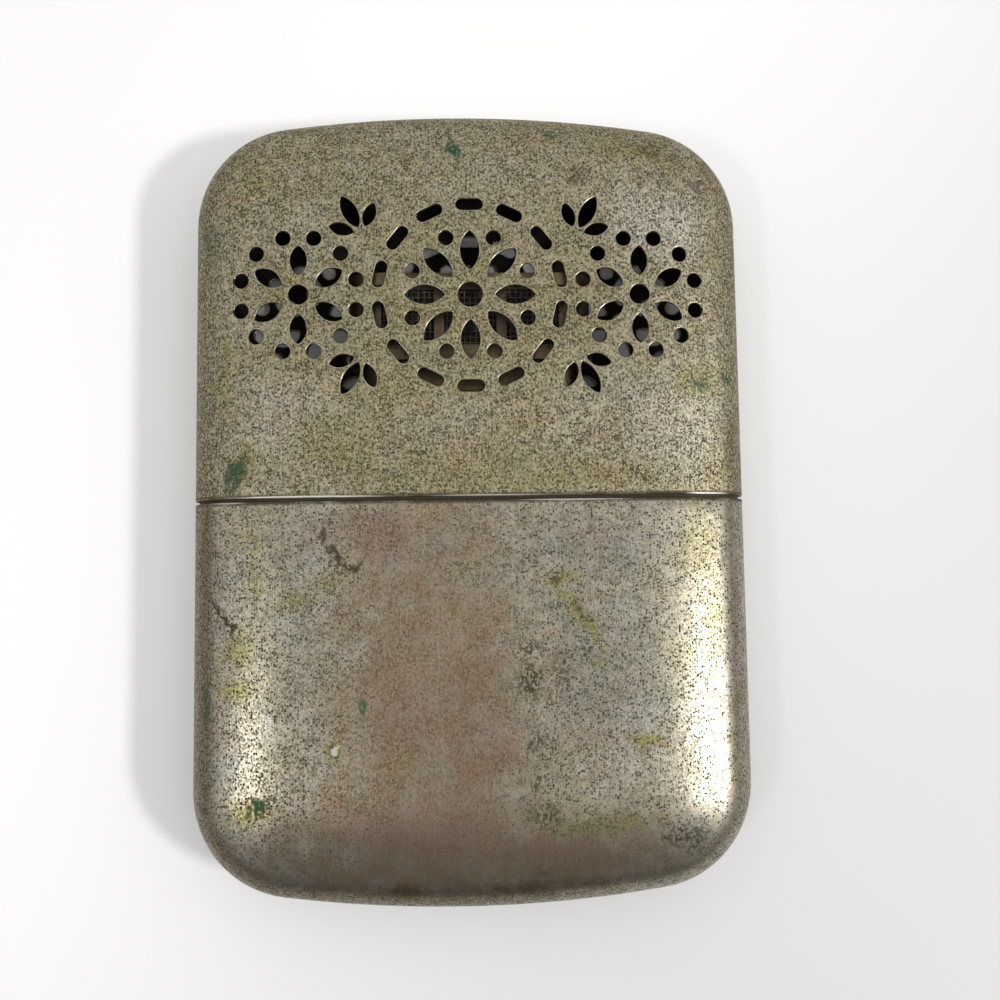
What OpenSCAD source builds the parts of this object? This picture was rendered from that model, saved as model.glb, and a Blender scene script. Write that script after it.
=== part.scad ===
// Pocket catalytic hand warmer: a drawn metal case in two halves, lying on its back.
// The lower half is the fuel tank, packed with cotton. Its collar carries an oblong
// neck, and the burner pushes onto the neck. The upper half is the vented cap, which
// slides over the collar. X is the width, Y runs from tank to cap, Z is the thickness.

/* [Case] */
// Width across the two straight sides
case_w = 68; // [67:0.5:69]
// Length of the closed case
case_h = 98; // [96:0.5:100]
// Thickness through the flat middle
case_t = 14; // [13.5:0.5:14.5]
// Radius of the corners, seen from the front
corner_r = 13; // [12.5:0.5:13.5]
// Radius of the shallow arch across each end
arch_r = 160; // [120:10:200]
// Radius of the edge between front and back
edge_r = 6; // [5.5:0.25:6.25]
// Thickness of the drawn sheet
wall = 0.4; // [0.35:0.05:0.5]
// Width of the dark line between tank and cap
seam_gap = 0.4; // [0.3:0.05:0.5]

/* [Vents] */
// Height of the vent pattern's middle above the seam
vent_y = 24.5; // [23:0.5:25.5]
// Distance from the middle rosette to each side one
vent_spread = 20.5; // [20:0.5:21]
// Petals of the middle rosette
main_petals = 8; // [6:1:9]
// Petals of each side rosette
side_petals = 6; // [5:1:7]
// Radius of the dots between petals
dot_r = 0.9; // [0.6:0.1:1]
// Width of the long vent slots
slot_w = 1.4; // [1.1:0.1:1.5]

/* [Collar] */
// Clearance between collar and cap
fit_gap = 0.1; // [0.08:0.01:0.12]
// Length of collar soldered inside the tank
collar_lap = 4; // [3:0.5:5]
// Height of the collar's deck above the seam
deck_y = 13; // [12.5:0.25:13.25]
// Radius where the collar turns into its deck
shoulder_r = 1.6; // [1.2:0.2:2]
// Radius of the bumps that hold the cap
grip_r = 1.1; // [0.8:0.1:1.4]

/* [Neck] */
// Width of the filling neck
neck_w = 27; // [26:0.5:27]
// Thickness of the filling neck
neck_t = 7.6; // [7.2:0.2:7.6]
// Height of the neck above the deck
neck_rise = 3.7; // [3.5:0.1:3.8]
// Clearance between neck and burner skirt
skirt_gap = 0.08; // [0.06:0.01:0.1]

/* [Burner] */
// Width of the burner cage
burner_w = 30; // [30:0.5:31]
// Thickness of the burner cage
burner_t = 10.4; // [10.4:0.1:10.6]
// Height of the burner cage
burner_h = 10.3; // [10:0.1:10.6]
// Corner radius of the burner cage
burner_r = 3.6; // [3.4:0.1:3.6]
// Thickness of the burner's sheet metal
foil = 0.3; // [0.25:0.05:0.35]
// Windows in each face of the cage
windows = 3; // [2:1:4]
// Width of the bars between windows
window_bar = 1.2; // [1:0.1:1.4]
// Spacing of the holes in the wire gauze
mesh_pitch = 1.8; // [1.6:0.1:2]
// Width of the holes in the wire gauze
mesh_hole = 1.2; // [1:0.1:1.3]

/* [Hidden] */
$fn = 64;
over = 1;

// Case border: a crown arc of crown_r runs from the flat into the edge arc of edge_r
half_t = case_t / 2;
flat_x = case_w/2 - corner_r;
arch_y = case_h/2 - arch_r;
arch_in = arch_r - corner_r;
arch_a = asin(flat_x / arch_in);
corner_y = arch_y + arch_in*cos(arch_a);
crown_r = ((corner_r-edge_r)^2 + half_t^2 - edge_r^2) / (2*(half_t-edge_r));
lean = asin((corner_r-edge_r) / (crown_r-edge_r));
crown_steps = 5;
edge_steps = 12;

// Middle rosette: its eye, then its petals, dots and slots at their distance from the middle
main_eye = 1.5;
main_petal_y = 3;
main_petal_l = 4.9;
main_petal_w = 2.3;
main_dot_y = 7.5;
slot_y = 11.1;
slot_l = 3.3;
slots = 14;

// Side rosette: its eye, petals and dots
side_eye = 1.2;
side_petal_y = 2.3;
side_petal_l = 3.7;
side_petal_w = 2;
side_dot_y = 7.1;

// Sprig: its place and lean, its middle leaf and the two that spread from it
sprig_x = 12.9;
sprig_y = 7.4;
sprig_lean = 28;
leaf_y = 0.9;
leaf_l = 4.4;
leaf_w = 1.8;
small_leaf_y = 1;
small_leaf_l = 3.1;
small_leaf_w = 1.5;
leaf_spread = 48;

// Collar and neck
collar_d = wall + fit_gap;
collar_in = collar_d + wall;
grip_rise = 0.07;
grip_x = 16;
grip_y = 6;
seam_play = 0.3;
neck_reach = 1.6;
neck_low = deck_y - neck_reach;
neck_top = deck_y + neck_rise;
neck_in_w = neck_w - 2*wall;
neck_in_t = neck_t - 2*wall;
flange_rim = 0.9;
solder_rim = 0.35;
solder_h = 0.2;
loose = 0.1;
retainer_y = neck_low + 2*loose;
retainer_t = 0.25;
retainer_pitch = 2.5;
retainer_row = 1.4;
retainer_hole = 0.8;

// Felt and cotton
soft_gap = 0.4;
felt_w = 33;
felt_t = 9;
felt_low = 4.8;
felt_top = neck_low - soft_gap;
cotton_d = collar_in + soft_gap;
cotton_top = felt_low - soft_gap;
cotton_split = 11;

// Burner, from the skirt's lower edge up to the crown's top
skirt_in_w = neck_w + 2*skirt_gap;
skirt_in_t = neck_t + 2*skirt_gap;
skirt_w = skirt_in_w + 2*wall;
skirt_t = skirt_in_t + 2*wall;
burner_lift = 0.3;
skirt_low = deck_y + solder_h + 2*loose;
slit_w = 0.6;
slit_h = 2.4;
slit_x = 7;
cage_low = neck_top + burner_lift;
flange_y = cage_low + foil;
plate_y = flange_y + foil;
floor_y = plate_y + foil;
plate_pitch = 2.2;
plate_row = 2.4;
plate_hole = 0.75;
cage_top = cage_low + burner_h;
cage_in_w = burner_w - 2*foil;
cage_in_t = burner_t - 2*foil;
cage_in_r = burner_r - foil;
crown_skirt = 1.2;
crown_top = cage_top + foil;
rivet_y = cage_top - crown_skirt/2;
rivet_r = 0.4;
rivet_head_r = 0.55;
rivet_head = 0.3;
window_side = 0.6;
window_sill = 0.9;
window_head = 0.5;
window_span = 2*(burner_w/2 - burner_r - window_side);
window_w = (window_span - (windows-1)*window_bar) / windows;
window_low = floor_y + window_sill;
window_h = cage_top - crown_skirt - window_head - window_low;
gauze_t = 0.3;
gauze_rim = 0.5;
gauze_w = 2*(burner_w/2 - burner_r);
gauze_low = floor_y + loose;
gauze_h = cage_top - loose - gauze_low;
mat_gap = 0.3;
mat_w = cage_in_w - 2*mat_gap;
mat_t = cage_in_t - 2*(gauze_t + 2*loose);
mat_low = floor_y + 2*loose;
mat_top = cage_top - mat_gap;
carrier_w = 24;
carrier_t = 0.4;
carrier_top = floor_y + 5.8;
carrier_pitch = 3;
carrier_row = 2;
carrier_hole = 0.7;

// ---- Shared outlines ----

// Point i on the crown's arc, inset by d; the first step stays flat
function crown_point(i, d, side) = let (a = lean*i/crown_steps)
  [(crown_r-d)*sin(a), side*(half_t - (i < 2 ? d : crown_r - (crown_r-d)*cos(a)))];

// Border from the flat front, round the edge, to the flat back, inset by d
function border(d) = concat(
  [for (i = [0:crown_steps]) crown_point(i, d, 1)],
  [for (i = [1:edge_steps-1]) let (a = lean + (180-2*lean)*i/edge_steps)
    [corner_r - edge_r + (edge_r-d)*sin(a), (edge_r-d)*cos(a)]],
  [for (i = [crown_steps:-1:0]) crown_point(i, d, -1)]);

// Outline of the case seen along Y at the seam, inset by d
module mouth(d) {
  right = border(d);
  last = len(right) - 1;
  polygon(concat([for (p = right) [flat_x + p[0], p[1]]],
    [for (i = [last:-1:0]) [-flat_x - right[i][0], right[i][1]]]));
}

// Rectangle of width w and thickness t with corners of radius r
module oblong(w, t, r) {
  square([w - 2*r, t], center=true);
  square([w, t - 2*r], center=true);
  for (x = [-1, 1], y = [-1, 1])
    translate([x*(w/2 - r), y*(t/2 - r)]) circle(r);
}

// Flat oval of width w and thickness t
module stadium(w, t) {
  square([w - t, t], center=true);
  for (x = [-1, 1]) translate([x*(w - t)/2, 0]) circle(t/2);
}

// Arch-topped strip: half width, lower end, upper end, top corner radius
module tombstone(half, y0, y1, r) {
  translate([-half, y0]) square([2*half, y1 - r - y0]);
  translate([r - half, y0]) square([2*(half - r), y1 - y0]);
  for (x = [-1, 1]) translate([x*(half - r), y1 - r]) circle(r);
}

// Rows of round holes of radius r, with n on each side of the one at x = 0
module hole_rows(n, pitch, rows, r) for (i = [-n:n], y = rows) translate([i*pitch, y]) circle(r);

// Draws an outline of the case's cross-section as a solid from y0 to y1
module along_y(y0, y1) translate([0, y1, 0]) rotate([90, 0, 0]) linear_extrude(y1 - y0) children();

// Raises a piece from the case's middle plane to the height at which it lies on its back
module lying() translate([0, 0, half_t]) children();

// ---- Case ----

// Border round one corner and along half of the arched end
module end_border(d) {
  translate([flat_x, corner_y, 0]) rotate_extrude(angle = 90 - arch_a) polygon(border(d));
  translate([0, arch_y, 0]) rotate([0, 0, 90 - arch_a])
    rotate_extrude(angle = arch_a, $fn = 720) translate([arch_in, 0]) polygon(border(d));
}

// Solid half of the case from y0 up to its arched end, inset by d
module half_case(d, y0) {
  along_y(y0, corner_y) mouth(d);
  linear_extrude(case_t - 2*d, center=true) intersection() {
    translate([-flat_x, corner_y]) square([2*flat_x, corner_r]);
    translate([0, arch_y]) circle(arch_in);
  }
  end_border(d);
  mirror([1, 0, 0]) end_border(d);
}

// Drawn cup of even wall, open at y0
module half_shell(y0) difference() {
  half_case(0, y0);
  half_case(wall, y0 - over);
}

// ---- Vent pattern: three rosettes and the sprigs between them ----

// Pointed petal of length l and width w, standing on r and pointing outwards
module petal(r, l, w) {
  arc_r = (l^2 + w^2) / (4*w);
  translate([0, r + l/2]) intersection() {
    translate([arc_r - w/2, 0]) circle(arc_r);
    translate([w/2 - arc_r, 0]) circle(arc_r);
  }
}

// Slot of length l lying across the radius at r
module cross_slot(r, l) translate([0, r]) stadium(l, slot_w);

// n copies of the children round the middle, turned by start
module ring_of(n, start = 0) for (i = [0:n-1]) rotate(start + 360*i/n) children();

module main_rosette() {
  circle(main_eye);
  ring_of(main_petals) petal(main_petal_y, main_petal_l, main_petal_w);
  ring_of(main_petals, 180/main_petals) translate([0, main_dot_y]) circle(dot_r);
  ring_of(slots) cross_slot(slot_y, slot_l);
}

module side_rosette() {
  circle(side_eye);
  ring_of(side_petals) petal(side_petal_y, side_petal_l, side_petal_w);
  ring_of(2*side_petals, 90/side_petals) translate([0, side_dot_y]) circle(dot_r);
}

// Three leaves that fill the corner between the middle rosette and a side one
module sprig() {
  petal(leaf_y, leaf_l, leaf_w);
  for (turn = [-leaf_spread, leaf_spread]) rotate(turn) petal(small_leaf_y, small_leaf_l, small_leaf_w);
}

module vent_pattern() {
  main_rosette();
  for (x = [0, 1]) mirror([x, 0]) {
    translate([vent_spread, 0]) side_rosette();
    for (y = [0, 1]) mirror([0, y]) translate([sprig_x, sprig_y]) rotate(-sprig_lean) sprig();
  }
}

// ---- Outer pieces ----

module cap_shell() color("#9a927f") lying() difference() {
  half_shell(seam_gap/2);
  translate([0, vent_y, 0]) linear_extrude(case_t + 2*over, center=true) vent_pattern();
}

module tank_shell() color("#a59c89") lying() rotate([0, 0, 180]) half_shell(seam_gap/2);

// ---- Collar and neck ----

// Solid of the collar's outer form, inset by d, with its deck at y1
module collar_block(d, y0, y1, r) intersection() {
  along_y(y0, y1) mouth(d);
  rotate([0, 90, 0]) linear_extrude(case_w, center=true) tombstone(half_t - d, y0, y1, r);
  linear_extrude(case_t, center=true) tombstone(case_w/2 - d, y0, y1, 2*r);
}

module grip_bumps() for (x = [-grip_x, grip_x], z = [0, 180])
  rotate([0, z, 0]) translate([x, grip_y, half_t - collar_d - wall/2])
    cylinder(r = grip_r, h = wall/2 + grip_rise);

module tank_collar() color("#b0a68c") lying() difference() {
  union() {
    collar_block(collar_d, -collar_lap, deck_y, shoulder_r);
    grip_bumps();
  }
  collar_block(collar_in, -collar_lap - over, deck_y - wall, shoulder_r - wall);
  along_y(neck_low, neck_top) stadium(neck_w + loose, neck_t + loose);
}

// Solder that fills the thin gap between tank and collar
module collar_solder() color("#8d8f92") lying() along_y(-collar_lap, -seam_gap - seam_play) difference() {
  mouth(wall);
  mouth(collar_d);
}

module neck_tube() color("#b39f6c") lying() difference() {
  union() {
    along_y(neck_low, neck_top) stadium(neck_w, neck_t);
    along_y(deck_y - 2*wall, deck_y - wall) stadium(neck_w + 2*flange_rim, neck_t + 2*flange_rim);
  }
  along_y(neck_low - over, neck_top + over) stadium(neck_in_w, neck_in_t);
}

module neck_solder() color("#8d8f92") lying() along_y(deck_y, deck_y + solder_h) difference() {
  stadium(neck_w + 2*solder_rim, neck_t + 2*solder_rim);
  stadium(neck_w, neck_t);
}

// Pierced strip across the foot of the neck, which keeps the felt down
module neck_retainer() color("#b39f6c") lying() along_y(retainer_y, retainer_y + retainer_t) difference() {
  stadium(neck_in_w, neck_in_t);
  hole_rows(4, retainer_pitch, [-retainer_row, retainer_row], retainer_hole);
}

// ---- Felt and cotton ----

module wick_felt() color("#d8d2c2") lying() along_y(felt_low, felt_top) stadium(felt_w, felt_t);

// Wad of cotton that fills the tank between x0 and x1
module cotton_wad(x0, x1) color("#ece8dd") lying() intersection() {
  rotate([0, 0, 180]) half_case(cotton_d, -cotton_top);
  translate([x0, -case_h/2, -half_t]) cube([x1 - x0, case_h, case_t]);
}

module cotton_wad_left() cotton_wad(-case_w/2, -cotton_split - soft_gap/2);
module cotton_wad_middle() cotton_wad(-cotton_split + soft_gap/2, cotton_split - soft_gap/2);
module cotton_wad_right() cotton_wad(cotton_split + soft_gap/2, case_w/2);

// ---- Burner ----

module burner_skirt() color("#a3936b") lying() difference() {
  union() {
    along_y(skirt_low, plate_y) stadium(skirt_w, skirt_t);
    along_y(flange_y, plate_y) oblong(cage_in_w, cage_in_t, cage_in_r);
  }
  along_y(skirt_low - over, plate_y + over) stadium(skirt_in_w, skirt_in_t);
  for (x = [-slit_x, slit_x]) translate([x - slit_w/2, skirt_low - over, -half_t])
    cube([slit_w, slit_h + over, case_t]);
}

// Pierced plate that spreads the vapour under the mat
module burner_plate() color("#97895f") lying() along_y(plate_y, floor_y) difference() {
  oblong(cage_in_w, cage_in_t, cage_in_r);
  hole_rows(5, plate_pitch, [-plate_row, plate_row], plate_hole);
}

module window_cuts() for (i = [0:windows-1])
  translate([i*(window_w + window_bar) - window_span/2, window_low, -half_t])
    cube([window_w, window_h, case_t]);

// Holes that both rivets pass through
module rivet_bores() translate([-case_w/2, rivet_y, 0]) rotate([0, 90, 0]) cylinder(r = rivet_r, h = case_w);

module burner_cage() color("#a79a78") lying() difference() {
  along_y(cage_low, cage_top) oblong(burner_w, burner_t, burner_r);
  along_y(flange_y, cage_top + over) oblong(cage_in_w, cage_in_t, cage_in_r);
  along_y(cage_low - over, cage_top) stadium(skirt_w + 2*loose, skirt_t + 2*loose);
  window_cuts();
  rivet_bores();
}

module burner_crown() color("#ada183") lying() difference() {
  along_y(cage_top - crown_skirt, crown_top) oblong(burner_w + 2*foil, burner_t + 2*foil, burner_r + foil);
  along_y(cage_top - crown_skirt - over, cage_top) oblong(burner_w, burner_t, burner_r);
  rivet_bores();
}

module burner_rivets() color("#8f8a7c") lying() for (side = [0, 180]) rotate([0, side, 0])
  translate([burner_w/2 - foil, rivet_y, 0]) rotate([0, 90, 0]) {
    cylinder(r = rivet_r, h = 2*foil);
    translate([0, 0, 2*foil]) cylinder(r = rivet_head_r, h = rivet_head);
  }

// Wire gauze that holds the mat behind the cage's windows
module gauze() {
  columns = floor((gauze_w - 2*gauze_rim) / mesh_pitch);
  rows = floor((gauze_h - 2*gauze_rim) / mesh_pitch);
  translate([0, gauze_low, 0]) linear_extrude(gauze_t) difference() {
    translate([-gauze_w/2, 0]) square([gauze_w, gauze_h]);
    for (i = [0:columns-1], j = [0:rows-1])
      translate([(i - (columns-1)/2)*mesh_pitch, gauze_h/2 + (j - (rows-1)/2)*mesh_pitch])
        square(mesh_hole, center=true);
  }
}

module burner_gauze_front() color("#6d675a") lying() translate([0, 0, cage_in_t/2 - gauze_t]) gauze();
module burner_gauze_rear() color("#6d675a") lying() translate([0, 0, -cage_in_t/2]) gauze();

// Pierced strip that stands on the plate and stiffens the mat
module mat_carrier() color("#8b8371") lying()
  translate([0, 0, -carrier_t/2]) linear_extrude(carrier_t) difference() {
  translate([-carrier_w/2, floor_y]) square([carrier_w, carrier_top - floor_y]);
  translate([0, floor_y]) hole_rows(3, carrier_pitch, [carrier_row, 2*carrier_row], carrier_hole);
}

module catalyst_mat() color("#2b2a28") lying() difference() {
  along_y(mat_low, mat_top) oblong(mat_w, mat_t, cage_in_r - mat_gap);
  translate([-carrier_w/2 - loose, mat_low - over, -carrier_t/2 - loose])
    cube([carrier_w + 2*loose, carrier_top + loose + over - mat_low, carrier_t + 2*loose]);
}

cap_shell();
tank_shell();
tank_collar();
collar_solder();
neck_tube();
neck_solder();
neck_retainer();
wick_felt();
cotton_wad_left();
cotton_wad_middle();
cotton_wad_right();
burner_skirt();
burner_plate();
burner_cage();
burner_crown();
burner_rivets();
burner_gauze_front();
burner_gauze_rear();
mat_carrier();
catalyst_mat();
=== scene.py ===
"""Looks of a pocket catalytic hand warmer: a worn, pitted nickel case in two halves.

The vented cap and the fuel tank are modelled here as drawn sheet with punched holes and
rounded edges, the burner gets its woven gauze and black fibre mat, and the tank its felt
and cotton. Lengths are in metres: X is the width, Y runs from tank to cap, Z is up.
"""

import math
from functools import reduce
from types import SimpleNamespace

import bmesh
import bpy
from mathutils import Euler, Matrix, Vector


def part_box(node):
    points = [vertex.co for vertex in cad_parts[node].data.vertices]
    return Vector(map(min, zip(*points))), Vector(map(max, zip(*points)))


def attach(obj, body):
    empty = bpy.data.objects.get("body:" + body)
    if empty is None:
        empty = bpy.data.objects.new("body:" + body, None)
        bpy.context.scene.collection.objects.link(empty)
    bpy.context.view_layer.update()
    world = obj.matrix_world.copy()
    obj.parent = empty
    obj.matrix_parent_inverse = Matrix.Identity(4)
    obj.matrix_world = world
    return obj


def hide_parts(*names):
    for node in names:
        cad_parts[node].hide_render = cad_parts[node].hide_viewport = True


bl_info = {
    "name": "Catalytic hand warmer",
    "version": (1, 0, 0),
    "blender": (4, 5, 0),
    "location": "3D View > Sidebar > Hand Warmer",
    "description": "Models the case, gauze and soft fillings of a pocket hand warmer and finishes its metals",
    "category": "Object",
}

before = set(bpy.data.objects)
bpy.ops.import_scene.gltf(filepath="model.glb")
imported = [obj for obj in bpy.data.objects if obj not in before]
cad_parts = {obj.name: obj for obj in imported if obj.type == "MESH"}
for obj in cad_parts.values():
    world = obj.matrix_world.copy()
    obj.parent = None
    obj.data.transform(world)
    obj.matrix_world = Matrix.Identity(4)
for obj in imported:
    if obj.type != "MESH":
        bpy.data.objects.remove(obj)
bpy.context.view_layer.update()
MM = 0.001


def cad_box(node):
    """Lowest and highest corner of a CAD node."""
    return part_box(node)


CAP_LOW, CAP_HIGH = cad_box("cap_shell")
TANK_LOW, _ = cad_box("tank_shell")


# ---- Sizes and colours a user would change ----


def length(name, default, description):
    """A length that the sidebar shows in the scene's unit."""
    return bpy.props.FloatProperty(
        name=name, default=default, description=description, unit="LENGTH", precision=4
    )


def number(name, default, description, unit="NONE"):
    """A plain number, or a lamp's power."""
    return bpy.props.FloatProperty(name=name, default=default, description=description, unit=unit)


def whole(name, default, description):
    """A whole number."""
    return bpy.props.IntProperty(name=name, default=default, description=description)


def share(name, default, description):
    """A plain number from 0 to 1."""
    return bpy.props.FloatProperty(
        name=name, default=default, description=description, min=0.0, max=1.0, subtype="FACTOR"
    )


def colour(name, default, description):
    """A linear colour."""
    return bpy.props.FloatVectorProperty(
        name=name, default=default, description=description, size=3, min=0.0, max=1.0, subtype="COLOR"
    )


class CaseSizes(bpy.types.PropertyGroup):
    """The drawn case: its outline, its edges and the seam between its halves."""

    width: length("Width", CAP_HIGH.x - CAP_LOW.x, "Width across the two straight sides")
    depth: length("Length", CAP_HIGH.y - TANK_LOW.y, "Length of the closed case")
    thickness: length("Thickness", CAP_HIGH.z - CAP_LOW.z, "Thickness through the flat middle")
    corner_radius: length("Corner radius", 0.013, "Radius of the corners, seen from the front")
    arch_radius: length("Arch radius", 0.160, "Radius of the shallow arch across each end")
    edge_radius: length("Edge radius", 0.006, "Radius of the edge between front and back")
    sheet: length("Sheet", 0.0004, "Thickness of the drawn metal")
    seam: length("Seam", 2 * CAP_LOW.y, "Width of the dark line between tank and cap")
    lip: length("Rounded lip", 0.00013, "How far the cut edges of the sheet are rounded")


class VentSizes(bpy.types.PropertyGroup):
    """The punched air vents: a middle rosette, two side rosettes and four sprigs."""

    middle_y: length("Height", 0.0245, "Height of the pattern's middle above the seam")
    spread: length("Spread", 0.0205, "Distance from the middle rosette to each side one")
    main_petals: whole("Middle petals", 8, "Petals of the middle rosette")
    side_petals: whole("Side petals", 6, "Petals of each side rosette")
    slots: whole("Slots", 14, "Slots round the middle rosette")
    dot_radius: length("Dot radius", 0.0009, "Radius of the dots between petals")
    slot_width: length("Slot width", 0.0014, "Width of the long slots")
    tip: length("Petal tip", 0.00016, "How far the pointed ends of a petal are rounded")


class SoftSizes(bpy.types.PropertyGroup):
    """The woven gauze and the soft fillings."""

    wire_pitch: length("Wire pitch", 0.0007, "Distance between the gauze's wires")
    fuzz: length("Fibre relief", 0.00022, "Height of the lumps on the mat, felt and cotton")


class Finishes(bpy.types.PropertyGroup):
    """The colours of the metals, their tarnish and the soft fillings."""

    cap_nickel: colour("Cap nickel", (0.330, 0.298, 0.205), "Worn nickel plate of the cap")
    tank_nickel: colour("Tank nickel", (0.368, 0.341, 0.268), "Worn nickel plate of the tank")
    khaki: colour("Khaki film", (0.258, 0.229, 0.122), "Yellowish film round the cap's vents")
    rubbed: colour("Rubbed plate", (0.46, 0.43, 0.35), "Plate that is rubbed brighter")
    tarnish: colour("Brown tarnish", (0.252, 0.189, 0.119), "Broad brown tarnish down the middle of the tank")
    pit: colour("Pits", (0.036, 0.029, 0.014), "Corrosion pits in the plate")
    olive: colour("Olive stain", (0.262, 0.232, 0.082), "Yellow-green stains")
    verdigris: colour("Verdigris", (0.018, 0.075, 0.035), "Green copper salts")
    rust_brown: colour("Brown mark", (0.055, 0.030, 0.012), "Brown scratches and runs")
    rosy: colour("Rosy tarnish", (0.250, 0.160, 0.112), "Where the plate has worn towards the copper")
    bluish: colour("Bluish film", (0.20, 0.20, 0.17), "Thin grey-blue film on the plate")
    grime: colour("Grime", (0.048, 0.034, 0.015), "Dirt in the seam and on the lips beside it")
    # The bare-metal colour, also used for painted highlights on the cap's seam lip
    bare_metal_and_lip_highlight: colour("Bare spot", (0.74, 0.72, 0.64), "Spots where fresh metal shows")
    brass: colour("Dark brass", (0.36, 0.26, 0.11), "Bare, darkened brass of the neck")
    burner: colour("Burner metal", (0.17, 0.13, 0.08), "Heat-browned plated brass")
    solder: colour("Solder", (0.42, 0.43, 0.43), "Dull soft solder")
    # Painted shade: near black for the cap's inner side
    cap_inside_shade: colour("Soot", (0.012, 0.010, 0.007), "Inside of the cap")
    catalyst: colour("Catalyst", (0.018, 0.018, 0.018), "Black fibre of the mat")
    felt: colour("Felt", (0.62, 0.56, 0.44), "Dense wool felt")
    cotton: colour("Cotton", (0.80, 0.77, 0.68), "Packed cotton wadding")


class StageLook(bpy.types.PropertyGroup):
    """The table, the daylight and the camera."""

    table: colour("Table", (0.985, 0.985, 0.98), "White table top")
    # Painted shade: the table's colour towards the lower right, where the light falls off
    table_painted_shade: colour("Table away from the light", (0.65, 0.645, 0.64), "Table top towards the lower right")
    daylight: number("Room light", 1.11, "Brightness of the room's light")
    sky_behind: share("Light behind", 1.0, "Brightness of the room beyond the cap")
    sky_before: share("Light in front", 0.30, "Brightness of the room on the tank's side")
    viewer: share("Light past the viewer", 0.50, "How much light comes from where the viewer stands")
    horizon: share("Low light", 0.45, "How much of that brightness is left near the table")
    right_lamp: number("Right lamp", 1.16, "Main lamp", "POWER")
    right_glow: number("Right glow", 0.085, "Wide light beside it", "POWER")
    left_lamp: number("Left lamp", 0.23, "Weaker lamp", "POWER")
    left_glow: number("Left glow", 0.07, "Wide light beside it", "POWER")
    lens: number("Lens", 34.67, "Focal length on a 36 mm sensor, in mm")


# ---- Modelling steps ----


CLOSE = 1e-6
SHARP = math.radians(40)
MIDDLE = (0, 0, 0)
ALONG_Y = (0, 1, 0)
UP = (0, 0, 1)


def mm(*values):
    """A point given in millimetres."""
    return Vector(values) * MM


def only(piece):
    """Makes this piece the one selected and active object."""
    bpy.ops.object.select_all(action="DESELECT")
    piece.select_set(True)
    bpy.context.view_layer.objects.active = piece
    return piece


def begin(name, point=MIDDLE):
    """A new mesh in edit mode that holds one point."""
    bpy.ops.object.select_all(action="DESELECT")
    bpy.ops.mesh.primitive_plane_add(size=MM)
    piece = bpy.context.object
    piece.name = name
    piece.data.name = name
    bpy.ops.object.mode_set(mode="EDIT")
    bpy.ops.mesh.select_mode(type="VERT")
    take_all()
    bpy.ops.mesh.merge(type="CENTER")
    bpy.ops.transform.translate(value=point)
    return piece


def begin_empty(name):
    """A new mesh in edit mode that holds nothing yet."""
    piece = begin(name)
    bpy.ops.mesh.delete(type="VERT")
    return piece


def new_point(point):
    """Adds one selected point to the mesh in edit mode."""
    bpy.ops.mesh.primitive_plane_add(size=MM)
    bpy.ops.mesh.merge(type="CENTER")
    bpy.ops.transform.translate(value=point)


def take_all():
    """Selects everything that isn't hidden."""
    bpy.ops.mesh.select_all(action="SELECT")


def take(test):
    """Selects the points of the mesh in edit mode whose place passes the test."""
    bpy.ops.mesh.select_mode(type="VERT")
    bpy.ops.mesh.select_all(action="DESELECT")
    shape = bmesh.from_edit_mesh(bpy.context.object.data)
    for point in shape.verts:
        point.select_set(bool(test(point.co)))
    shape.select_flush_mode()
    bmesh.update_edit_mesh(bpy.context.object.data)


def sweep(steps, angle, centre, axis):
    """Spins the selection by a right-handed angle about an axis through centre."""
    bpy.ops.mesh.spin(steps=steps, angle=-angle, center=centre, axis=axis)


def draw_out(move, steps=1):
    """Extrudes the selection by move, in even steps."""
    for _ in range(steps):
        bpy.ops.mesh.extrude_region_move(TRANSFORM_OT_translate={"value": Vector(move) / steps})


def turn(angle, centre):
    """Turns the selection anticlockwise in the plane of the front face."""
    bpy.ops.transform.rotate(value=-angle, orient_axis="Z", center_override=centre)


def merge_points():
    """Joins points that lie on each other."""
    take_all()
    bpy.ops.mesh.remove_doubles(threshold=CLOSE)


def finish_edit():
    """Merges, turns faces outwards and leaves edit mode."""
    merge_points()
    take_all()
    bpy.ops.mesh.normals_make_consistent(inside=False)
    bpy.ops.object.mode_set(mode="OBJECT")


def modify(piece, kind, **settings):
    """Adds a modifier, sets it and applies it."""
    only(piece)
    step = piece.modifiers.new(kind.lower(), kind)
    for key, value in settings.items():
        setattr(step, key, value)
    bpy.ops.object.modifier_apply(modifier=step.name)


def smooth(piece):
    """Smooth shading, except across sharp edges."""
    only(piece)
    bpy.ops.object.shade_smooth_by_angle(angle=SHARP)


def fix_place():
    """Moves the selected piece's place and turn into its mesh."""
    bpy.ops.object.transform_apply(location=True, rotation=True, scale=True)


def swing(piece, angle):
    """Turns a whole piece about the Z axis; with no window, a positive angle is clockwise."""
    only(piece)
    bpy.ops.transform.rotate(value=angle, orient_axis="Z", center_override=MIDDLE)
    fix_place()


def dress(piece, body, material=None):
    """Gives a piece its body and, when one is given, its material."""
    if material:
        piece.data.materials.clear()
        piece.data.materials.append(material)
    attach(piece, body)
    return piece


# ---- Case outline ----


class CaseShape:
    """Arcs of the case, worked out from the driving sizes."""

    def __init__(self, case):
        self.half_t = case.thickness / 2
        self.flat_x = case.width / 2 - case.corner_radius
        self.arch_y = case.depth / 2 - case.arch_radius
        self.arch_in = case.arch_radius - case.corner_radius
        self.arch_angle = math.asin(self.flat_x / self.arch_in)
        self.corner_y = self.arch_y + self.arch_in * math.cos(self.arch_angle)
        edge = case.edge_radius
        run = case.corner_radius - edge
        self.edge_x = self.flat_x + run
        self.crown = (run**2 + self.half_t**2 - edge**2) / (2 * (self.half_t - edge))
        self.lean = math.asin(run / (self.crown - edge))


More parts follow.
